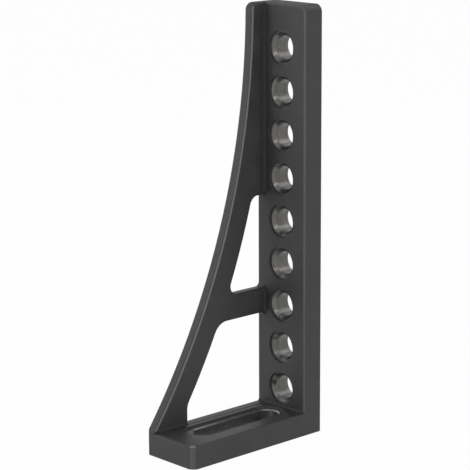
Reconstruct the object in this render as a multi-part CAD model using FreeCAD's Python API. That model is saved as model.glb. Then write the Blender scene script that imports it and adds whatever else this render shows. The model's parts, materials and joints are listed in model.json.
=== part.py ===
# Angle plate for a 50 mm grid welding and fixture table: one iron casting.
# A tall leg with a row of system bores stands on a short slotted foot, and a thin web, flush with one side,
# ties the two together. X runs from the leg's stop face along the foot, Y across the plate, Z up. The origin
# is the heel: stop face and base face meet there, halfway across the width. All sizes are in millimetres.

import FreeCAD
import Part
import math
import os

Vector = FreeCAD.Vector

# Leg and foot
LEG_HEIGHT = 500.0
FOOT_LENGTH = 200.0
PLATE_WIDTH = 77.0
LEG_THICKNESS = 27.0
FOOT_THICKNESS = 27.0

# Web on the closed side (-Y), with its hollow-curved outer edge
WEB_THICKNESS = 12.0
WEB_TOP_REACH = 19.7            # how far it stands out of the leg at the very top
WEB_TOE_RISE = 2.0              # how far its outer edge ends above the foot, at the foot's end
WEB_BAND = 31.0                 # iron left between the outer edge and the windows

# Windows in the web, above and below its cross bar
CROSS_BAR_BASE = 137.0
CROSS_BAR_HEIGHT = 30.2
UPPER_WINDOW_TOP = 277.5
TOE_LAND = 51.3                 # iron left between the lower window's upright end and the foot's end
UPPER_CROWN_RADIUS = 12.0
LOWER_CROWN_RADIUS = 20.0
LOWER_KNEE_RADIUS = 20.0        # where the lower window's upright end turns into its slope
UPPER_TOE_RADIUS = 9.5          # upper window's low corner by the web's outer band
LEG_CORNER_RADIUS = 5.5         # where the cross bar meets the leg
TOE_RADIUS = 2.0                # lower window's far corner on the foot

# System bores through the leg and slot through the foot, on the table's grid
BORE_DIAMETER = 28.0
BORE_PITCH = 50.0
BORE_COUNT = 9
FIRST_BORE_HEIGHT = 50.0
SLOT_WIDTH = 28.0
SLOT_START = 50.0               # centre of its first round end, from the stop face
SLOT_TRAVEL = 100.0

# Machined seat sunk round each bore and round the slot, and the lead-ins at 45 degrees
SEAT_WIDTH = 39.0
SEAT_DEPTH = 2.7
BORE_LEAD_IN = 3.7
SLOT_LEAD_IN = 1.5
REVERSE_LEAD_IN = 2.0           # on the stop face and the base face

# Roundings
CAST_EDGE_RADIUS = 2.5
INNER_FILLET_RADIUS = 3.0
CROWN_CORNER_RADIUS = 9.0       # top of the leg on the open side, and top of the web
FOOT_CORNER_RADIUS = 9.0        # foot's end on the open side
WEB_TOE_RADIUS = 4.0            # foot's end on the web side
MACHINED_EDGE_CHAMFER = 0.4     # round the base face and the stop face

# Worked out from the sizes above
OPEN_SIDE = PLATE_WIDTH / 2
WEB_SIDE = -PLATE_WIDTH / 2
WEB_FACE = WEB_SIDE + WEB_THICKNESS
WEB_TOP_X = LEG_THICKNESS + WEB_TOP_REACH
WEB_TOE_Z = FOOT_THICKNESS + WEB_TOE_RISE
LOWER_WINDOW_END = FOOT_LENGTH - TOE_LAND
SPARE = 5.0                     # how far a cutting tool runs past the face it cuts
NEAR = 0.01                     # tolerance for picking edges


def same(value, target):
    """Whether two coordinates agree."""
    return abs(value - target) < NEAR


def picked(shape, test):
    """Edges of a shape whose two ends and middle all pass the test."""
    def samples(edge):
        span = edge.LastParameter - edge.FirstParameter
        return [edge.valueAt(edge.FirstParameter + share * span) for share in (0, 0.5, 1)]
    return [edge for edge in shape.Edges if all(test(point) for point in samples(edge))]


def block(x_range, y_range, z_range):
    """Box between two limits on each axis."""
    size = [high - low for low, high in (x_range, y_range, z_range)]
    return Part.makeBox(*size, Vector(x_range[0], y_range[0], z_range[0]))


def web_curve():
    """Centre (x, z) and radius of the web's outer edge, upright at the top and meeting the foot's end."""
    run = FOOT_LENGTH - WEB_TOP_X
    drop = LEG_HEIGHT - WEB_TOE_Z
    radius = (run ** 2 + drop ** 2) / (2 * run)
    return WEB_TOP_X + radius, LEG_HEIGHT, radius


def on_web_curve(share):
    """Point of the web's outer edge, from its top (share 0) to the foot's end (share 1)."""
    centre_x, centre_z, radius = web_curve()
    angle = share * math.asin((LEG_HEIGHT - WEB_TOE_Z) / radius)
    return Vector(centre_x - radius * math.cos(angle), WEB_SIDE, centre_z - radius * math.sin(angle))


def side_plate():
    """Closed side of the casting: the web in one plate with the ends of leg and foot, its rims rounded."""
    heel = Vector(0, WEB_SIDE, 0)
    toe = Vector(FOOT_LENGTH, WEB_SIDE, 0)
    head = Vector(0, WEB_SIDE, LEG_HEIGHT)
    foot, middle, top = [on_web_curve(share) for share in (1, 0.5, 0)]
    outline = Part.Wire([Part.makeLine(heel, toe), Part.makeLine(toe, foot), Part.Arc(foot, middle, top).toShape(),
                         Part.makeLine(top, head), Part.makeLine(head, heel)])
    plate = Part.Face(outline).extrude(Vector(0, WEB_THICKNESS, 0))
    crown = picked(plate, lambda p: same(p.x, WEB_TOP_X) and same(p.z, LEG_HEIGHT))
    plate = plate.makeFillet(CROWN_CORNER_RADIUS, crown)
    upright = picked(plate, lambda p: same(p.y, WEB_SIDE) and same(p.x, FOOT_LENGTH))
    plate = plate.makeFillet(WEB_TOE_RADIUS, upright)
    outer_rim = picked(plate, lambda p: p.y < WEB_SIDE + WEB_TOE_RADIUS + NEAR and
                       (same(p.z, LEG_HEIGHT) or p.x > NEAR and p.z > NEAR))
    plate = plate.makeFillet(CAST_EDGE_RADIUS, outer_rim)
    inner_rim = picked(plate, lambda p: same(p.y, WEB_FACE) and p.x > LEG_THICKNESS + NEAR
                       and p.z > FOOT_THICKNESS - NEAR)
    return plate.makeFillet(CAST_EDGE_RADIUS, inner_rim)


def corner_strip(length, turn):
    """Concave strip of the inner fillet radius, from the corner of web and leg (or foot) towards the open side."""
    radius = INNER_FILLET_RADIUS
    strip = block((0, radius), (0, radius), (0, length))
    strip = strip.cut(Part.makeCylinder(radius, length, Vector(radius, radius, 0)))
    if turn:
        strip.rotate(Vector(0, 0, 0), Vector(0, 1, 0), 90)
        strip = strip.mirror(Vector(0, 0, 0), Vector(0, 0, 1))
    strip.translate(Vector(LEG_THICKNESS, WEB_FACE, FOOT_THICKNESS))
    return strip


def web_corners():
    """Cast fillets where the web's inner face meets the leg and the foot."""
    up_leg = corner_strip(LEG_HEIGHT - CAST_EDGE_RADIUS - FOOT_THICKNESS, False)
    along_foot = corner_strip(FOOT_LENGTH - 2 * INNER_FILLET_RADIUS - LEG_THICKNESS, True)
    return [up_leg, along_foot]


def soften(prism, corners):
    """Round the corners of a window prism; each corner is (x, z, radius)."""
    for x, z, radius in corners:
        edge = picked(prism, lambda p: same(p.x, x) and same(p.z, z))
        prism = prism.makeFillet(radius, edge)
    return prism


def window(z_low, z_high, x_end, corners):
    """Tool that cuts one window and rounds its rims on both faces of the web."""
    centre_x, centre_z, radius = web_curve()
    bound = radius + WEB_BAND
    band = Part.makeCylinder(bound, WEB_THICKNESS, Vector(centre_x, WEB_SIDE, centre_z), Vector(0, 1, 0))
    opening = soften(block((LEG_THICKNESS, x_end), (WEB_SIDE, WEB_FACE), (z_low, z_high)).cut(band), corners)
    margin = 2 * CAST_EDGE_RADIUS
    slab = block((LEG_THICKNESS - margin, x_end + margin), (WEB_SIDE, WEB_FACE), (z_low - margin, z_high + margin))
    frame = slab.cut(opening)
    rims = picked(frame, lambda p: (same(p.y, WEB_SIDE) or same(p.y, WEB_FACE)) and z_low - NEAR < p.z < z_high + NEAR
                  and LEG_THICKNESS - NEAR < p.x < x_end + NEAR)
    tool = slab.cut(frame.makeFillet(CAST_EDGE_RADIUS, rims))
    mouth = [face for face in tool.Faces if all(same(v.Point.y, WEB_FACE) for v in face.Vertexes)]
    return tool.fuse(mouth[0].extrude(Vector(0, INNER_FILLET_RADIUS + SPARE, 0)))


def windows():
    """Tools of the upper and the lower window."""
    centre_x, centre_z, radius = web_curve()
    bound = radius + WEB_BAND

    def slope_x(z):
        return centre_x - math.sqrt(bound ** 2 - (centre_z - z) ** 2)

    bar_top = CROSS_BAR_BASE + CROSS_BAR_HEIGHT
    knee_z = centre_z - math.sqrt(bound ** 2 - (centre_x - LOWER_WINDOW_END) ** 2)
    upper = window(bar_top, UPPER_WINDOW_TOP, LOWER_WINDOW_END, [
        (LEG_THICKNESS, bar_top, LEG_CORNER_RADIUS),
        (slope_x(bar_top), bar_top, UPPER_TOE_RADIUS),
        (slope_x(UPPER_WINDOW_TOP), UPPER_WINDOW_TOP, UPPER_CROWN_RADIUS),
    ])
    lower = window(FOOT_THICKNESS, CROSS_BAR_BASE, LOWER_WINDOW_END, [
        (LEG_THICKNESS, FOOT_THICKNESS, INNER_FILLET_RADIUS),
        (LOWER_WINDOW_END, FOOT_THICKNESS, TOE_RADIUS),
        (LOWER_WINDOW_END, knee_z, LOWER_KNEE_RADIUS),
        (slope_x(CROSS_BAR_BASE), CROSS_BAR_BASE, LOWER_CROWN_RADIUS),
        (LEG_THICKNESS, CROSS_BAR_BASE, LEG_CORNER_RADIUS),
    ])
    return [upper, lower]


def angle_section():
    """Leg and foot, from the web side's rounding to the open side, with their own roundings."""
    start = WEB_SIDE + CAST_EDGE_RADIUS
    corners = [(0, 0), (FOOT_LENGTH, 0), (FOOT_LENGTH, FOOT_THICKNESS), (LEG_THICKNESS, FOOT_THICKNESS),
               (LEG_THICKNESS, LEG_HEIGHT), (0, LEG_HEIGHT), (0, 0)]
    outline = Part.Face(Part.makePolygon([Vector(x, start, z) for x, z in corners]))
    section = outline.extrude(Vector(0, OPEN_SIDE - start, 0))
    roundings = [
        (CROWN_CORNER_RADIUS, lambda p: same(p.z, LEG_HEIGHT) and same(p.y, OPEN_SIDE)),
        (FOOT_CORNER_RADIUS, lambda p: same(p.x, FOOT_LENGTH) and same(p.y, OPEN_SIDE)),
        (INNER_FILLET_RADIUS, lambda p: same(p.x, LEG_THICKNESS) and same(p.z, FOOT_THICKNESS)),
        (CAST_EDGE_RADIUS, lambda p: same(p.x, LEG_THICKNESS) and same(p.y, OPEN_SIDE)),
    ]
    for radius, test in roundings:
        section = section.makeFillet(radius, picked(section, test))
    return section


def machined_faces(body):
    """Break the edges round the machined base face and stop face."""
    rim = picked(body, lambda p: same(p.z, 0) or same(p.x, 0))
    heel = picked(body, lambda p: same(p.z, 0) and same(p.x, 0))
    kept = [edge for edge in rim if not any(edge.isSame(other) for other in heel)]
    return body.makeChamfer(MACHINED_EDGE_CHAMFER, kept)


def bore_tool(height):
    """Stepped cutter of one system bore: sunk seat, lead-in, bore, and the lead-in on the stop face."""
    radius = BORE_DIAMETER / 2
    floor = LEG_THICKNESS - SEAT_DEPTH
    profile = [(-SPARE, 0), (-SPARE, radius + REVERSE_LEAD_IN), (0, radius + REVERSE_LEAD_IN),
               (REVERSE_LEAD_IN, radius), (floor - BORE_LEAD_IN, radius), (floor, radius + BORE_LEAD_IN),
               (floor, SEAT_WIDTH / 2), (LEG_THICKNESS + SPARE, SEAT_WIDTH / 2), (LEG_THICKNESS + SPARE, 0),
               (-SPARE, 0)]
    face = Part.Face(Part.makePolygon([Vector(x, 0, height + offset) for x, offset in profile]))
    return face.revolve(Vector(0, 0, height), Vector(1, 0, 0), 360)


def round_ended(width, height):
    """Outline of the slot, widened to a width, in the plane at a height."""
    half = width / 2
    start, end = SLOT_START, SLOT_START + SLOT_TRAVEL
    left = Part.Arc(Vector(start, half, height), Vector(start - half, 0, height), Vector(start, -half, height))
    right = Part.Arc(Vector(end, -half, height), Vector(end + half, 0, height), Vector(end, half, height))
    return Part.Wire([left.toShape(), Part.makeLine(Vector(start, -half, height), Vector(end, -half, height)),
                      right.toShape(), Part.makeLine(Vector(end, half, height), Vector(start, half, height))])


def slot_tool():
    """Stepped cutter of the slot: sunk seat, lead-in, slot, and the lead-in on the base face."""
    floor = FOOT_THICKNESS - SEAT_DEPTH
    levels = [
        (-SPARE, SLOT_WIDTH + 2 * REVERSE_LEAD_IN, 0, SLOT_WIDTH + 2 * REVERSE_LEAD_IN),
        (0, SLOT_WIDTH + 2 * REVERSE_LEAD_IN, REVERSE_LEAD_IN, SLOT_WIDTH),
        (REVERSE_LEAD_IN, SLOT_WIDTH, floor - SLOT_LEAD_IN, SLOT_WIDTH),
        (floor - SLOT_LEAD_IN, SLOT_WIDTH, floor, SLOT_WIDTH + 2 * SLOT_LEAD_IN),
        (floor, SEAT_WIDTH, FOOT_THICKNESS + SPARE, SEAT_WIDTH),
    ]
    parts = [Part.makeLoft([round_ended(low_width, low), round_ended(high_width, high)], True, True)
             for low, low_width, high, high_width in levels]
    return parts[0].fuse(parts[1:])


def angle_plate():
    """The finished casting."""
    closed_side = side_plate().fuse(web_corners()).cut(windows())
    body = closed_side.fuse(angle_section()).removeSplitter()
    body = machined_faces(body)
    bores = [bore_tool(FIRST_BORE_HEIGHT + index * BORE_PITCH) for index in range(BORE_COUNT)]
    return body.cut(bores + [slot_tool()]).removeSplitter()


os.makedirs("parts", exist_ok=True)
casting = angle_plate()
casting.Solids[0].exportStep("parts/angle_plate.step")
print("solids", len(casting.Solids), "valid", casting.isValid(), "volume", round(casting.Volume), "mm3")
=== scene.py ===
"""An angle plate for a fixture table, dressed over its packed casting.

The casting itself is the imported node, with a dark cast skin. What a machinist cut into it, the nine system bores and
the slot with their sunk seats, are thin skins that lie on the iron. Everything is in metres: X runs from the stop face
along the foot, Y across the plate, Z up.
"""
import json
import logging
import math
from dataclasses import dataclass, field
from enum import Enum
from typing import Any, Optional, Sequence, Tuple, Union

import bmesh
import bpy
from mathutils import Matrix, Vector


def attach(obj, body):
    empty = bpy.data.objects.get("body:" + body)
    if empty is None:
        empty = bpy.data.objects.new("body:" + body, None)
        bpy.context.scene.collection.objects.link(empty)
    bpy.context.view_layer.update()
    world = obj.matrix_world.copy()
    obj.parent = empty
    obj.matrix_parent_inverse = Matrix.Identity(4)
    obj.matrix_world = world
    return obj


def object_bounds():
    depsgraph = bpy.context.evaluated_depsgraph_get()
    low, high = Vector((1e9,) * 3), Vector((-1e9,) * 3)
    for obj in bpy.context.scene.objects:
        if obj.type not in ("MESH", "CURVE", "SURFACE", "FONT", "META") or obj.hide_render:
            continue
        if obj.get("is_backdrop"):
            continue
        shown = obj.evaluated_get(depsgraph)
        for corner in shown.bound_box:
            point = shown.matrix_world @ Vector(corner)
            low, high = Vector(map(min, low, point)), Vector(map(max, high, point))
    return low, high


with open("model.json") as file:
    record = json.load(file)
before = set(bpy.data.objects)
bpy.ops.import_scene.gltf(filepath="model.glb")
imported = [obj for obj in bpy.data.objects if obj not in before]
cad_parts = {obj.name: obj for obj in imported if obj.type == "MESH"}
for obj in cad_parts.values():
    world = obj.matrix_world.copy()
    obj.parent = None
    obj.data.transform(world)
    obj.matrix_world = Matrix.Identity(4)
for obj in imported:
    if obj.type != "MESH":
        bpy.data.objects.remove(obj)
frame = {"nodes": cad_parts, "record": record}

LOG = logging.getLogger("angle_plate")
CASTING_NODE = "angle_plate"
BODY = "root"
MM = 0.001
NOISE_MIDDLE = 0.5

Vector3 = Tuple[float, float, float]
Colour = Vector3
Number = Union[float, "Signal"]
WHITE: Colour = (1.0, 1.0, 1.0)


# ------------------------------------------------------------------------------------------------ node expressions
class Maths(Enum):
    """The Math node operations that expressions use."""

    ADD = "ADD"
    SUBTRACT = "SUBTRACT"
    MULTIPLY = "MULTIPLY"
    DIVIDE = "DIVIDE"
    ABSOLUTE = "ABSOLUTE"
    MAXIMUM = "MAXIMUM"
    FLOOR = "FLOOR"
    REMAINDER = "MODULO"
    SINE = "SINE"
    COSINE = "COSINE"
    ABOVE = "GREATER_THAN"


class Signal:
    """A number that varies over a surface or a mesh: a socket that Python's arithmetic adds Math nodes to."""

    def __init__(self, tree: "NodeTree", socket: Any) -> None:
        """Wraps a socket.

        Args:
            tree: The node tree that the socket belongs to.
            socket: An output socket that carries one number.
        """
        self.tree = tree
        self.socket = socket

    def __add__(self, other: Number) -> "Signal":
        """self + other."""
        return self.tree.maths(Maths.ADD, self, other)

    def __radd__(self, other: Number) -> "Signal":
        """other + self."""
        return self.tree.maths(Maths.ADD, other, self)

    def __sub__(self, other: Number) -> "Signal":
        """self - other."""
        return self.tree.maths(Maths.SUBTRACT, self, other)

    def __rsub__(self, other: Number) -> "Signal":
        """other - self."""
        return self.tree.maths(Maths.SUBTRACT, other, self)

    def __mul__(self, other: Number) -> "Signal":
        """self * other."""
        return self.tree.maths(Maths.MULTIPLY, self, other)

    def __rmul__(self, other: Number) -> "Signal":
        """other * self."""
        return self.tree.maths(Maths.MULTIPLY, other, self)

    def __truediv__(self, other: Number) -> "Signal":
        """self / other."""
        return self.tree.maths(Maths.DIVIDE, self, other)

    def __neg__(self) -> "Signal":
        """-self."""
        return self.tree.maths(Maths.MULTIPLY, self, -1.0)


class NodeTree:
    """A node tree of either kind, with one method that makes any node."""

    def __init__(self, tree: bpy.types.NodeTree) -> None:
        """Takes a tree to fill.

        Args:
            tree: The material's or the geometry's node tree.
        """
        self.tree = tree

    def node(self, kind: str, settings: Optional[dict] = None, inputs: Optional[dict] = None) -> Any:
        """Makes a node.

        Args:
            kind: The node's type name.
            settings: Properties that are set before the sockets are filled.
            inputs: Values, signals or sockets by input name or number.

        Returns:
            The new node.
        """
        made = self.tree.nodes.new(kind)
        for key, value in (settings or {}).items():
            setattr(made, key, value)
        for key, value in (inputs or {}).items():
            self.feed(made.inputs[key], value)
        return made

    def feed(self, target: Any, value: Any) -> None:
        """Links a signal or a socket to an input, or sets the input's own value.

        Args:
            target: The input socket.
            value: A Signal, an output socket, a number, a colour or a vector.
        """
        if isinstance(value, Signal):
            self.tree.links.new(value.socket, target)
        elif isinstance(value, bpy.types.NodeSocket):
            self.tree.links.new(value, target)
        elif isinstance(value, tuple) and target.type == "RGBA":
            target.default_value = (*value, 1.0)
        else:
            target.default_value = value

    def maths(self, operation: Maths, first: Number, second: Number = 0.0) -> Signal:
        """Adds one Math node.

        Args:
            operation: What it works out.
            first: Its first number.
            second: Its second number, where it takes one.

        Returns:
            The result.
        """
        node = self.node("ShaderNodeMath", {"operation": operation.value}, {0: first, 1: second})
        return Signal(self, node.outputs[0])

    def vector(self, x: Number = 0.0, y: Number = 0.0, z: Number = 0.0) -> Any:
        """A vector of three numbers or signals."""
        return self.node("ShaderNodeCombineXYZ", None, {0: x, 1: y, 2: z}).outputs[0]

    def shown(self) -> Signal:
        """1 where the surface is seen, straight or in a reflection, and 0 where it only lights something."""
        path = self.node("ShaderNodeLightPath")
        seen = Signal(self, path.outputs["Is Camera Ray"])
        for other in ("Is Glossy Ray", "Is Transmission Ray"):
            seen = self.maths(Maths.MAXIMUM, seen, Signal(self, path.outputs[other]))
        return seen


class Surface(NodeTree):
    """A material under construction."""

    def __init__(self, name: str) -> None:
        """Starts an empty material.

        Args:
            name: The material's name.
        """
        self.material = bpy.data.materials.new(name)
        self.material.use_nodes = True
        super().__init__(self.material.node_tree)
        self.tree.nodes.clear()

    def place(self) -> Any:
        """The point on the surface in the object's own metres."""
        return self.node("ShaderNodeTexCoord").outputs["Object"]

    def along(self, axis: str) -> Signal:
        """One coordinate of the point on the surface: "X", "Y" or "Z"."""
        node = self.node("ShaderNodeSeparateXYZ", None, {0: self.place()})
        return Signal(self, node.outputs[axis])

    def ramp(self, value: Signal, low: float, high: float) -> Signal:
        """Rises smoothly from 0 where value is low to 1 where it is high.

        Args:
            value: The signal to ease.
            low: The value that gives 0. It may be the larger one.
            high: The value that gives 1.

        Returns:
            The eased value, held between 0 and 1.
        """
        ends = {"Value": value, "From Min": low, "From Max": high, "To Min": 0.0, "To Max": 1.0}
        node = self.node("ShaderNodeMapRange", {"interpolation_type": "SMOOTHSTEP", "clamp": True}, ends)
        return Signal(self, node.outputs["Result"])

    def noise(self, grain: float, detail: float, stretch: Vector3 = (1.0, 1.0, 1.0)) -> Signal:
        """Soft random variation from 0 to 1.

        Args:
            grain: The size of a grain in metres.
            detail: How many finer octaves are added.
            stretch: How many times longer a grain is along X, Y and Z.

        Returns:
            The variation, around 0.5.
        """
        scale = tuple(1.0 / (grain * s) for s in stretch)
        spread = self.node("ShaderNodeVectorMath", {"operation": "MULTIPLY"}, {0: self.place(), 1: scale})
        shape = {"Vector": spread.outputs[0], "Scale": 1.0, "Detail": detail, "Roughness": 0.55}
        return Signal(self, self.node("ShaderNodeTexNoise", {"noise_dimensions": "3D"}, shape).outputs[0])

    def swing(self, *parts: Tuple[Signal, float]) -> Signal:
        """Adds up how far several noises stray from their middle.

        Args:
            parts: Each noise with its share.

        Returns:
            The sum, around 0.
        """
        swings = [(noise - NOISE_MIDDLE) * share for noise, share in parts]
        return sum(swings[1:], swings[0])

    def mix(self, factor: Number, first: Any, second: Any) -> Any:
        """Blends two colours: first where the factor is 0 and second where it is 1."""
        return self.node("ShaderNodeMix", {"data_type": "RGBA"}, {0: factor, 6: first, 7: second}).outputs[2]

    def bump(self, height: Signal, depth: float, strength: float) -> Any:
        """Turns a height from 0 to 1 into a surface normal.

        Args:
            height: The height.
            depth: How deep 1 is, in metres.
            strength: How much of it shows.

        Returns:
            The normal.
        """
        inputs = {"Height": height, "Distance": depth, "Strength": strength}
        return self.node("ShaderNodeBump", None, inputs).outputs[0]

    def finish(self, shader: Any) -> bpy.types.Material:
        """Sends a shader to the material's output and returns the material."""
        self.node("ShaderNodeOutputMaterial", None, {"Surface": shader})
        return self.material


class GeometryTree(NodeTree):
    """A Geometry Nodes tree with named inputs, turned into a plain mesh once it is filled."""

    KINDS = {float: "NodeSocketFloat", int: "NodeSocketInt", bpy.types.Material: "NodeSocketMaterial"}

    def __init__(self, name: str, values: dict) -> None:
        """Starts a tree.

        Args:
            name: The tree's name.
            values: A length, a count or a material for each named input.
        """
        super().__init__(bpy.data.node_groups.new(name, "GeometryNodeTree"))
        self.values = values
        face = self.tree.interface
        self.named = {
            key: face.new_socket(name=key, in_out="INPUT", socket_type=self.KINDS[type(value)])
            for key, value in values.items()
        }
        face.new_socket(name="Geometry", in_out="OUTPUT", socket_type="NodeSocketGeometry")
        self.entry = self.tree.nodes.new("NodeGroupInput")

    def given(self, name: str) -> Signal:
        """The named input as a signal."""
        return Signal(self, self.entry.outputs[name])

    def mesh_object(self, name: str, geometry: Any) -> bpy.types.Object:
        """Runs the tree once and keeps its result as a plain mesh.

        Args:
            name: The new object's name.
            geometry: The socket that carries the finished geometry.

        Returns:
            The object, linked to the scene, with no modifier left on it.
        """
        leave = self.tree.nodes.new("NodeGroupOutput")
        self.tree.links.new(geometry, leave.inputs["Geometry"])
        seed = bpy.data.objects.new(f"{name}_seed", bpy.data.meshes.new(f"{name}_seed"))
        bpy.context.scene.collection.objects.link(seed)
        modifier = seed.modifiers.new("shape", "NODES")
        modifier.node_group = self.tree
        for key, socket in self.named.items():
            modifier[socket.identifier] = self.values[key]
        graph = bpy.context.evaluated_depsgraph_get()
        mesh = bpy.data.meshes.new_from_object(seed.evaluated_get(graph), depsgraph=graph)
        mesh.name = name
        bpy.data.objects.remove(seed)
        made = bpy.data.objects.new(name, mesh)
        bpy.context.scene.collection.objects.link(made)
        return made


# --------------------------------------------------------------------------------------------------------- sizes
@dataclass(frozen=True)
class PlateSizes:
    """Sizes of the casting that its machined faces, painted edge highlights and painted corner shade need, in metres.
    """

    height: float = 500.0 * MM
    foot_length: float = 200.0 * MM
    leg_thickness: float = 27.0 * MM
    foot_thickness: float = 27.0 * MM
    open_side: float = 38.5 * MM
    web_face: float = -26.5 * MM
    web_top_reach: float = 19.7 * MM
    web_toe_rise: float = 2.0 * MM
    foot_corner: float = 9.0 * MM
    crown_corner: float = 9.0 * MM
    windows: Tuple[Tuple[float, float], ...] = ((30.0 * MM, 136.0 * MM), (168.0 * MM, 277.0 * MM))
    slot_start: float = 50.0 * MM
    slot_travel: float = 100.0 * MM
    slot_lead_in: float = 1.5 * MM
    bore_lead_in: float = 3.7 * MM
    seat_width: float = 39.0 * MM
    seat_depth: float = 2.7 * MM

    def web_curve(self) -> Tuple[float, float, float]:
        """The circle of the web's outer edge.

        Returns:
            Its centre's x and z, and its radius.
        """
        run = self.foot_length - self.leg_thickness - self.web_top_reach
        drop = self.height - self.foot_thickness - self.web_toe_rise
        radius = (run**2 + drop**2) / (2.0 * run)
        return self.leg_thickness + self.web_top_reach + radius, self.height, radius


# ------------------------------------------------------------------------------------------------------- finishes
@dataclass(frozen=True)
class CastSkin:
    """The dark phosphated skin of the casting.

    It is satin and finely grained, with patchy painted highlights on its outer edges, and with painted shade and a
    duller roughness in its inner corners. The shares say how much each noise counts, in the order in which the comment
    names them.
    """

    name: str = "cast_skin"
    plate: PlateSizes = field(default_factory=PlateSizes)
    dark: Colour = (0.026, 0.026, 0.0265)
    light: Colour = (0.036, 0.0355, 0.0355)
    # The colour of the painted highlights on the edges.
    edge_highlight: Colour = (0.190, 0.187, 0.184)
    # The colour of the painted shade in the inner corners.
    painted_corner_shade: Colour = (0.016, 0.016, 0.016)
    gloss: float = 0.375
    # Roughness: the plain skin's, and what the ground faces, the crown and the corners change it by.
    roughness: float = 0.50
    ground_polish: float = 0.08
    crown_dulling: float = 0.20
    corner_dulling: float = 0.20
    # Grain sizes, and the noises' shares: cloud, grain, pits in the tone; cloud, grain in the roughness; and grain,
    # pits in the relief and in the patches of the painted edge highlights.
    grain: float = 0.9 * MM
    pits: float = 2.6 * MM
    cloud: float = 30.0 * MM
    tone_shares: Vector3 = (1.1, 0.8, 0.6)
    tone_range: Tuple[float, float] = (0.15, 0.85)
    dull_shares: Tuple[float, float] = (0.12, 0.14)
    relief_shares: Tuple[float, float] = (0.55, 0.45)
    highlight_patch_shares: Tuple[float, float] = (0.4, 0.6)
    highlight_patch_range: Tuple[float, float] = (0.15, 0.50)
    relief: float = 0.06 * MM
    # The ground faces: how deep the mask reaches, what is left of the cast relief, and the grinding marks.
    ground_depth: float = 0.4 * MM
    ground_smoothing: float = 0.8
    grinding: float = 0.5 * MM
    grinding_stretch: Vector3 = (1.0, 160.0, 1.0)
    grinding_relief: float = 0.35
    # The crown: where below the top its duller end face starts and is full.
    crown_start: float = 2.0 * MM
    crown_full: float = 0.5 * MM
    # Painted edge highlights: how far inside the outline they lie, how wide they are, and how strong each is.
    inset: float = 0.7 * MM
    web_inset: float = 1.8 * MM
    edge_reach: float = 2.0 * MM
    line_reach: float = 1.5 * MM
    line_core: float = 0.35
    leg_highlight: float = 0.32
    web_highlight: float = 0.80
    toe_highlight: float = 0.30
    toe_turn: float = 42.0
    toe_reach: float = 4.5 * MM
    # Inner corners, with painted shade and a duller roughness: how far off the faces the line of the fillet lies,
    # and how wide the mask round it is.
    corner_inset: float = 0.9 * MM
    corner_reach: float = 2.5 * MM

    def make(self) -> bpy.types.Material:
        """Builds the material.

        Returns:
            The finished material.
        """
        s = Surface(self.name)
        grain = s.noise(self.grain, 3.0)
        pits = s.noise(self.pits, 2.0)
        cloud = s.noise(self.cloud, 3.0)
        ground, shaded_corners = self.ground_faces(s), self.shaded_corners(s)
        crown = s.ramp(s.along("Z"), self.plate.height - self.crown_start, self.plate.height - self.crown_full)

        # Painted highlights on the edges, broken into patches by the grain and the pits.
        patchy = grain * self.highlight_patch_shares[0] + pits * self.highlight_patch_shares[1]
        edge_highlight = self.painted_edge_highlights(s) * s.ramp(patchy, *self.highlight_patch_range)
        tone = s.swing(*zip((cloud, grain, pits), self.tone_shares)) + NOISE_MIDDLE
        plain = s.mix(s.ramp(tone, *self.tone_range), self.dark, self.light)
        highlighted = s.mix(edge_highlight, plain, self.edge_highlight)

        sand = grain * self.relief_shares[0] + pits * self.relief_shares[1]
        marks = s.noise(self.grinding, 2.0, self.grinding_stretch)
        relief = sand * (1.0 - self.ground_smoothing * ground) + marks * ground * self.grinding_relief
        level = self.roughness - self.ground_polish * ground + self.crown_dulling * crown
        # The base colour lays the painted edge highlights, then the painted corner shade, over the plain tone.
        shader = s.node(
            "ShaderNodeBsdfPrincipled",
            None,
            {
                "Base Color": s.mix(shaded_corners, highlighted, self.painted_corner_shade),
                "Roughness": level + self.corner_dulling * shaded_corners + s.swing(*zip((cloud, grain), self.dull_shares)),
                "Specular IOR Level": self.gloss,
                "Normal": s.bump(relief, self.relief, 1.0),
            },
        )
        return s.finish(shader.outputs[0])

    def ground_faces(self, s: Surface) -> Signal:
        """A mask that is 1 on the stop face and on the base face, which are ground flat.

        Args:
            s: The material under construction.

        Returns:
            The mask.
        """
        stop = s.ramp(s.along("X"), self.ground_depth, 0.25 * self.ground_depth)
        base = s.ramp(s.along("Z"), self.ground_depth, 0.25 * self.ground_depth)
        return s.maths(Maths.MAXIMUM, stop, base)

    def near(self, s: Surface, first: Signal, second: Signal, reach: float) -> Signal:
        """A mask round a line, from the distances to two planes that meet in it.

        Args:
            s: The material under construction.
            first: The distance to one plane.
            second: The distance to the other.
            reach: How far from the line the mask fades out.

        Returns:
            The mask, 1 on the line.
        """
        return s.ramp(first * first + second * second, reach**2, (self.line_core * reach) ** 2)

    def painted_edge_highlights(self, s: Surface) -> Signal:
        """A mask of the painted edge highlights: the leg's, the web's, and the foot's corner with a painted glint at
        its top.

        Args:
            s: The material under construction.

        Returns:
            The mask.
        """
        p, z = self.plate, s.along("Z")
        clear_of_foot = s.ramp(z, p.foot_thickness, p.foot_thickness + self.edge_reach)
        leg = self.leg_edge(s) * clear_of_foot * self.leg_highlight
        web = self.web_edge(s) * clear_of_foot * self.web_highlight
        toe = self.toe_corner(s)
        # A painted glint where the foot's rounded corner meets the foot's top.
        toe_glint = s.ramp(z, p.foot_thickness - self.edge_reach, p.foot_thickness - self.inset) * toe
        return s.maths(Maths.MAXIMUM, s.maths(Maths.MAXIMUM, leg, web), toe * self.toe_highlight + toe_glint)

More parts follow.
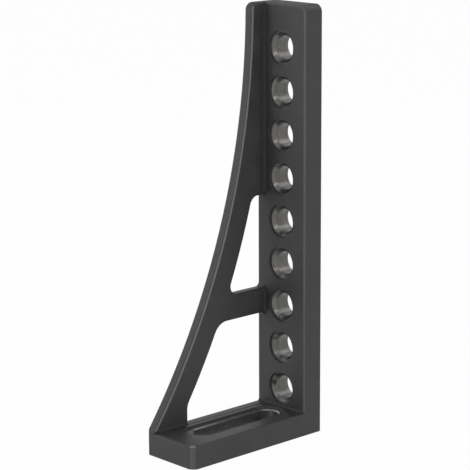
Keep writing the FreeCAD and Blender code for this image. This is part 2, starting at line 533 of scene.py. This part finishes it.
    def leg_edge(self, s: Surface) -> Signal:
        """A mask of the painted highlight on the leg's near edge, round its crown's corner too.

        Args:
            s: The material under construction.

        Returns:
            The mask.
        """
        p, corner = self.plate, self.plate.crown_corner
        over_y = s.maths(Maths.MAXIMUM, s.along("Y") - (p.open_side - corner), 0.0)
        over_z = s.maths(Maths.MAXIMUM, s.along("Z") - (p.height - corner), 0.0)
        outside = (over_y * over_y + over_z * over_z) / (2.0 * corner) - corner / 2.0
        inside = s.along("X") - (p.leg_thickness - self.inset)
        return self.near(s, inside, outside + self.inset, self.line_reach)

    def web_edge(self, s: Surface) -> Signal:
        """A mask of the painted highlight on the web's hollow edge, where it meets the web's inner face.

        Args:
            s: The material under construction.

        Returns:
            The mask.
        """
        centre_x, centre_z, radius = self.plate.web_curve()
        out_x, out_z = s.along("X") - centre_x, s.along("Z") - centre_z
        rise = (out_x * out_x + out_z * out_z) / (2.0 * radius) - (radius / 2.0 + self.web_inset)
        return self.near(s, rise, s.along("Y") - self.plate.web_face, self.line_reach)

    def toe_corner(self, s: Surface) -> Signal:
        """A mask of the painted highlight on the foot's rounded corner on the open side.

        Args:
            s: The material under construction.

        Returns:
            The mask.
        """
        p, turn = self.plate, math.radians(self.toe_turn)
        corner_x = p.foot_length - p.foot_corner * (1.0 - math.cos(turn))
        corner_y = p.open_side - p.foot_corner * (1.0 - math.sin(turn))
        return self.near(s, s.along("X") - corner_x, s.along("Y") - corner_y, self.toe_reach)

    def shaded_corners(self, s: Surface) -> Signal:
        """A mask of the inner corners, where shade is painted into the skin and its roughness is duller.

        Args:
            s: The material under construction.

        Returns:
            The mask.
        """
        p, x, y, z = self.plate, s.along("X"), s.along("Y"), s.along("Z")
        off_leg = x - (p.leg_thickness + self.corner_inset)
        off_web = y - (p.web_face + self.corner_inset)
        off_foot = z - (p.foot_thickness + self.corner_inset)
        mask = self.near(s, off_leg, off_web, self.corner_reach)
        for low, high in p.windows:
            middle, half = (low + high) / 2.0, (high - low) / 2.0
            mask = mask * s.ramp(s.maths(Maths.ABSOLUTE, z - middle), half - self.corner_reach, half)
        for first, second in ((off_leg, off_foot), (off_web, off_foot)):
            mask = s.maths(Maths.MAXIMUM, mask, self.near(s, first, second, self.corner_reach))
        return mask


@dataclass(frozen=True)
class MachinedIron:
    """Cut iron with fine rings left by the tool: a coated seat, a lead-in that may be rubbed bare, and the wall.

    The lead-in lies between two places along one axis, and the seat beyond it. The shares say how much each noise
    counts: rings, broad rings, cloud in the tone; rings, cloud in the roughness; rings, broad rings in the relief.
    """

    name: str
    ring_stretch: Vector3
    band_axis: str
    band: Tuple[float, float]
    dark: Colour = (0.085, 0.083, 0.081)
    light: Colour = (0.170, 0.166, 0.162)
    bare: Colour = (0.30, 0.295, 0.29)
    coat: Colour = (0.055, 0.054, 0.054)
    bareness: float = 0.0
    roughness: float = 0.27
    seat_dulling: float = 0.12
    metallic: float = 0.75
    ring: float = 0.35 * MM
    broadening: float = 4.5
    cloud: float = 9.0 * MM
    tone_shares: Vector3 = (0.9, 0.9, 0.6)
    tone_range: Tuple[float, float] = (0.1, 0.9)
    dull_shares: Tuple[float, float] = (0.16, 0.10)
    relief_shares: Tuple[float, float] = (0.6, 0.4)
    relief: float = 0.05 * MM
    relief_strength: float = 0.8
    feather: float = 0.15 * MM

    def make(self) -> bpy.types.Material:
        """Builds the material.

        Returns:
            The finished material.
        """
        s = Surface(self.name)
        rings = s.noise(self.ring, 2.0, self.ring_stretch)
        broad = s.noise(self.broadening * self.ring, 2.0, self.ring_stretch)
        cloud = s.noise(self.cloud, 2.0)
        seat = s.ramp(s.along(self.band_axis), self.band[1] - self.feather, self.band[1] + self.feather)
        bare = self.lead_in(s) * self.bareness

        tone = s.swing(*zip((rings, broad, cloud), self.tone_shares)) + NOISE_MIDDLE
        turned = s.mix(s.ramp(tone, *self.tone_range), self.dark, self.light)
        level = self.roughness + self.seat_dulling * seat
        relief = rings * self.relief_shares[0] + broad * self.relief_shares[1]
        shader = s.node(
            "ShaderNodeBsdfPrincipled",
            None,
            {
                "Base Color": s.mix(seat, s.mix(bare, turned, self.bare), self.coat),
                "Roughness": level + s.swing(*zip((rings, cloud), self.dull_shares)),
                "Metallic": (self.metallic + bare * (1.0 - self.metallic)) * (1.0 - seat),
                "Normal": s.bump(relief, self.relief, self.relief_strength),
            },
        )
        return s.finish(shader.outputs[0])

    def lead_in(self, s: Surface) -> Signal:
        """A mask of the lead-in's band.

        Args:
            s: The material under construction.

        Returns:
            The mask.
        """
        place, (low, high) = s.along(self.band_axis), self.band
        over = s.ramp(place, low - self.feather, low + self.feather)
        return over * s.ramp(place, high + self.feather, high - self.feather)


@dataclass(frozen=True)
class StudioWhite:
    """The pale floor: white where nothing shades it, and it keeps a soft shadow."""

    name: str = "studio_white"
    colour: Colour = (0.88, 0.88, 0.88)
    glow: float = 0.98

    def make(self) -> bpy.types.Material:
        """Builds the material.

        Returns:
            The finished material.
        """
        s = Surface(self.name)
        shown = s.shown()
        matte = s.node("ShaderNodeBsdfDiffuse", None, {"Color": self.colour})
        glow = s.node("ShaderNodeEmission", None, {"Color": WHITE, "Strength": 1.0})
        both = s.node("ShaderNodeMixShader", None, {0: shown * self.glow, 1: matte.outputs[0], 2: glow.outputs[0]})
        return s.finish(both.outputs[0])


# ----------------------------------------------------------------------------------------------------- sub-assemblies
@dataclass
class Casting:
    """The iron casting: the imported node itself, which only gets its skin."""

    skin: CastSkin = field(default_factory=CastSkin)

    def build(self) -> bpy.types.Object:
        """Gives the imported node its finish.

        Returns:
            The node's object.
        """
        node = frame["nodes"][CASTING_NODE]
        node.data.materials.clear()
        node.data.materials.append(self.skin.make())
        return node


@dataclass
class MachinedOpenings:
    """Thin skins in a row of like openings: sunk seat, lead-in, wall and reverse lead-in.

    Each opening runs down from its face along -Z, and the row runs along +X. A travel draws a round opening out into
    a slot, along X too.
    """

    name: str
    finish: MachinedIron
    bore_radius: float
    seat_radius: float
    seat_depth: float
    wall: float
    lead_in: float
    reverse_lead_in: float = 2.0 * MM
    travel: float = 0.0
    count: int = 1
    pitch: float = 0.0
    proud: float = 0.07 * MM
    rooted: float = 0.35 * MM
    shy: float = 0.12 * MM
    mitre: float = math.tan(math.radians(22.5))
    weld: float = 0.001 * MM
    sides: int = 96
    sharp: float = 30.0

    def inputs(self) -> dict:
        """The tree's named inputs and their values.

        Returns:
            A value for each input's name.
        """
        return {
            "Bore Radius": self.bore_radius,
            "Seat Radius": self.seat_radius,
            "Seat Depth": self.seat_depth,
            "Lead In": self.lead_in,
            "Reverse Lead In": self.reverse_lead_in,
            "Wall": self.wall,
            "Travel": self.travel,
            "Proud": self.proud,
            "Rooted": self.rooted,
            "Shy": self.shy,
            "Pitch": self.pitch,
            "Count": self.count,
            "Sides": self.sides,
            "Finish": self.finish.make(),
        }

    def section(self, t: GeometryTree) -> Sequence[Tuple[Signal, Signal]]:
        """The closed section of one skin, as radius and height pairs below the face.

        Args:
            t: The tree that holds the named inputs.

        Returns:
            The stations: down the side that shows, then back up inside the iron.
        """
        bore, seat, depth = t.given("Bore Radius"), t.given("Seat Radius"), t.given("Seat Depth")
        lead, back, wall = t.given("Lead In"), t.given("Reverse Lead In"), t.given("Wall")
        out, into, shy = t.given("Proud"), t.given("Rooted"), t.given("Shy")
        mitre = self.mitre
        shown = [
            (seat - out, -shy),
            (seat - out, out - depth),
            (bore + lead - out * mitre, out - depth),
            (bore - out, out * mitre - depth - lead),
            (bore - out, back - wall - out * mitre),
            (bore + back - out * (1.0 + mitre), shy - wall),
        ]
        hidden = [
            (bore + back + into, shy - wall),
            (bore + into, back - wall + into * mitre),
            (bore + into, -depth - lead - into * mitre),
            (bore + lead + into * mitre, -into - depth),
            (seat + into, -into - depth),
            (seat + into, -shy),
        ]
        return shown + hidden

    def revolved(self, t: GeometryTree) -> Any:
        """Turns the section round its axis on a grid and draws it out by the travel.

        Args:
            t: The tree that holds the named inputs.

        Returns:
            The socket with the closed skin of one opening.
        """
        stations = self.section(t)
        columns = t.given("Sides") + 1.0
        sheet = t.node("GeometryNodeMeshGrid", None, {"Vertices X": len(stations) + 1, "Vertices Y": columns})
        index = Signal(t, t.node("GeometryNodeInputIndex").outputs[0])
        step = t.maths(Maths.REMAINDER, t.maths(Maths.FLOOR, (index + 0.5) / columns), len(stations))
        turn = (t.maths(Maths.REMAINDER, index, columns) + 0.5) * (2.0 * math.pi) / t.given("Sides")
        switch = t.node("GeometryNodeIndexSwitch", {"data_type": "VECTOR"}, {"Index": step})
        while len(switch.index_switch_items) < len(stations):
            switch.index_switch_items.new()
        for number, (radius, height) in enumerate(stations):
            t.tree.links.new(t.vector(radius, 0.0, height), switch.inputs[number + 1])
        station = t.node("ShaderNodeSeparateXYZ", None, {0: switch.outputs[0]})
        radius, height = (Signal(t, station.outputs[axis]) for axis in ("X", "Z"))
        cosine, sine = t.maths(Maths.COSINE, turn), t.maths(Maths.SINE, turn)
        far = t.maths(Maths.ABOVE, cosine, 0.0) * t.given("Travel")
        point = t.vector(radius * cosine + far, radius * sine, height)
        bent = t.node("GeometryNodeSetPosition", None, {0: sheet.outputs[0], "Position": point})
        merge = {0: bent.outputs[0], "Distance": self.weld}
        return t.node("GeometryNodeMergeByDistance", None, merge).outputs[0]

    def build(self, place: Matrix) -> bpy.types.Object:
        """Makes the skins as one piece and lays it on the iron.

        Args:
            place: Where the first opening's centre on its face goes, with +Z out of the iron and +X along the row.

        Returns:
            The finished piece.
        """
        t = GeometryTree(self.name, self.inputs())
        spacing = {"Count": t.given("Count"), "Offset": t.vector(t.given("Pitch"))}
        row = t.node("GeometryNodeMeshLine", {"mode": "OFFSET"}, spacing)
        spread = {"Points": row.outputs[0], "Instance": self.revolved(t)}
        repeated = t.node("GeometryNodeInstanceOnPoints", None, spread)
        real = t.node("GeometryNodeRealizeInstances", None, {0: repeated.outputs[0]})
        coated = t.node("GeometryNodeSetMaterial", None, {0: real.outputs[0], "Material": t.given("Finish")})
        piece = t.mesh_object(self.name, coated.outputs[0])
        piece.data.transform(place)
        self.face_outwards(piece.data)
        piece.data.shade_smooth()
        piece.data.set_sharp_from_angle(angle=math.radians(self.sharp))
        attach(piece, BODY)
        return piece

    @staticmethod
    def face_outwards(mesh: bpy.types.Mesh) -> None:
        """Points every face of a closed mesh out of it.

        Args:
            mesh: The mesh, which is changed.
        """
        work = bmesh.new()
        work.from_mesh(mesh)
        bmesh.ops.recalc_face_normals(work, faces=work.faces)
        work.to_mesh(mesh)
        work.free()


# --------------------------------------------------------------------------------------------------------- studio
@dataclass(frozen=True)
class Softbox:
    """A square area lamp that faces the object."""

    name: str
    azimuth: float
    elevation: float
    distance: float
    size: float
    power: float

    def build(self, aim: Vector) -> bpy.types.Object:
        """Hangs the lamp.

        Args:
            aim: The point that it faces.

        Returns:
            The lamp's object.
        """
        data = bpy.data.lights.new(self.name, "AREA")
        data.shape, data.size, data.energy = "SQUARE", self.size, self.power
        lamp = bpy.data.objects.new(self.name, data)
        a, e = math.radians(self.azimuth), math.radians(self.elevation)
        away = Vector((math.cos(a) * math.cos(e), math.sin(a) * math.cos(e), math.sin(e)))
        lamp.location = aim + away * self.distance
        lamp.rotation_euler = (-away).to_track_quat("-Z", "Y").to_euler()
        bpy.context.scene.collection.objects.link(lamp)
        return lamp


@dataclass
class Studio:
    """Floor, white surroundings, lamps and camera."""

    lamps: Sequence[Softbox]
    ambient: float = 0.25
    floor_radius: float = 6.0
    floor_sides: int = 96
    floor_gap: float = 0.4 * MM
    camera_place: Vector3 = (1.538529, 1.547538, 0.721543)
    heading: float = 42.928
    tilt: float = 12.703
    roll: float = 0.292
    lens: float = 147.466
    sensor: float = 36.0
    nearest: float = 0.05
    farthest: float = 50.0

    def build(self) -> None:
        """Makes the whole studio."""
        bpy.context.scene.view_settings.view_transform = "Standard"
        self.surround()
        self.floor()
        low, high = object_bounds()
        for lamp in self.lamps:
            lamp.build((low + high) / 2)
        self.camera()

    def surround(self) -> None:
        """A plain white world for the eye, and a dimmer one for the light on the object."""
        world = bpy.data.worlds.new("surround")
        bpy.context.scene.world = world
        world.use_nodes = True
        w = NodeTree(world.node_tree)
        w.tree.nodes.clear()
        seen = w.shown()
        soft = w.node("ShaderNodeBackground", None, {"Color": WHITE, "Strength": self.ambient})
        white = w.node("ShaderNodeBackground", None, {"Color": WHITE, "Strength": 1.0})
        both = w.node("ShaderNodeMixShader", None, {0: seen, 1: soft.outputs[0], 2: white.outputs[0]})
        w.node("ShaderNodeOutputWorld", None, {"Surface": both.outputs[0]})

    def floor(self) -> None:
        """A pale disc just under the base face."""
        work = bmesh.new()
        bmesh.ops.create_circle(work, cap_ends=True, segments=self.floor_sides, radius=self.floor_radius)
        mesh = bpy.data.meshes.new("floor")
        work.to_mesh(mesh)
        work.free()
        mesh.transform(Matrix.Translation((0.0, 0.0, -self.floor_gap)))
        mesh.materials.append(StudioWhite().make())
        floor = bpy.data.objects.new("floor", mesh)
        bpy.context.scene.collection.objects.link(floor)
        floor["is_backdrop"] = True

    def camera(self) -> None:
        """The camera, on a long lens."""
        data = bpy.data.cameras.new("camera")
        data.sensor_width, data.lens = self.sensor, self.lens
        data.clip_start, data.clip_end = self.nearest, self.farthest
        camera = bpy.data.objects.new("camera", data)
        h, t, r = (math.radians(x) for x in (self.heading, self.tilt, self.roll))
        ahead = Vector((-math.sin(h) * math.cos(t), -math.cos(h) * math.cos(t), -math.sin(t)))
        level = Vector((-math.cos(h), math.sin(h), 0.0))
        below = ahead.cross(level)
        right = level * math.cos(r) + below * math.sin(r)
        down = below * math.cos(r) - level * math.sin(r)
        axes = Matrix((right, -down, -ahead)).transposed().to_4x4()
        camera.matrix_world = Matrix.Translation(self.camera_place) @ axes
        bpy.context.scene.collection.objects.link(camera)
        bpy.context.scene.camera = camera


# ----------------------------------------------------------------------------------------------------------- main
def bore_mounts() -> Sequence[dict]:
    """The record's bores, from the lowest up."""
    found = [m for m in frame["record"]["mounts"] if m["kind"] == "bore"]
    return sorted(found, key=lambda m: m["pos_m"][2])


def machined_bores(sizes: PlateSizes) -> bpy.types.Object:
    """Builds the skins of the leg's system bores.

    Args:
        sizes: The casting's sizes.

    Returns:
        The piece.
    """
    bores = bore_mounts()
    first, second = (Vector(m["pos_m"]) for m in bores[:2])
    floor = sizes.leg_thickness - sizes.seat_depth
    opening = MachinedOpenings(
        name="machined_bores",
        finish=MachinedIron("bored_iron", (1.0, 40.0, 40.0), "X", (floor - sizes.bore_lead_in, floor)),
        bore_radius=bores[0]["dims"]["r_mm"] * MM,
        seat_radius=sizes.seat_width / 2,
        seat_depth=sizes.seat_depth,
        wall=sizes.leg_thickness,
        lead_in=sizes.bore_lead_in,
        count=len(bores),
        pitch=(second - first).length,
    )
    corner = Vector((sizes.leg_thickness, first.y, first.z))
    axes = Matrix(((0.0, 0.0, 1.0), (0.0, -1.0, 0.0), (1.0, 0.0, 0.0))).to_4x4()
    return opening.build(Matrix.Translation(corner) @ axes)


def machined_slot(sizes: PlateSizes) -> bpy.types.Object:
    """Builds the skin of the foot's slot.

    Args:
        sizes: The casting's sizes.

    Returns:
        The piece.
    """
    floor = sizes.foot_thickness - sizes.seat_depth
    milled = MachinedIron(
        name="milled_iron",
        ring_stretch=(40.0, 40.0, 1.0),
        band_axis="Z",
        band=(floor - sizes.slot_lead_in, floor),
        dark=(0.060, 0.060, 0.060),
        light=(0.085, 0.085, 0.085),
        bareness=0.55,
        metallic=0.2,
    )
    opening = MachinedOpenings(
        name="machined_slot",
        finish=milled,
        bore_radius=bore_mounts()[0]["dims"]["r_mm"] * MM,
        seat_radius=sizes.seat_width / 2,
        seat_depth=sizes.seat_depth,
        wall=sizes.foot_thickness,
        lead_in=sizes.slot_lead_in,
        travel=sizes.slot_travel,
    )
    return opening.build(Matrix.Translation((sizes.slot_start, 0.0, sizes.foot_thickness)))


LAMPS = (
    Softbox("right", 90.0, 12.0, 2.6, 1.1, 21.8),
    Softbox("left_front", 0.0, 12.0, 2.6, 1.1, 11.4),
    Softbox("left", -25.0, 12.0, 2.6, 1.1, 12.6),
    Softbox("far_left", -75.0, 12.0, 2.6, 1.1, 6.2),
    Softbox("high_right", 165.0, 48.0, 2.6, 1.3, 6.6),
    Softbox("key", 35.0, 40.0, 2.6, 0.5, 3.6),
)


def main() -> None:
    """Builds the plate and its studio."""
    logging.basicConfig(level=logging.INFO, format="%(name)s: %(message)s")
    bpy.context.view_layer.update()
    sizes = PlateSizes()
    for piece in (Casting().build(), machined_bores(sizes), machined_slot(sizes)):
        LOG.info("%s: %d faces", piece.name, len(piece.data.polygons))
    Studio(LAMPS).build()


if __name__ == "__main__":
    main()
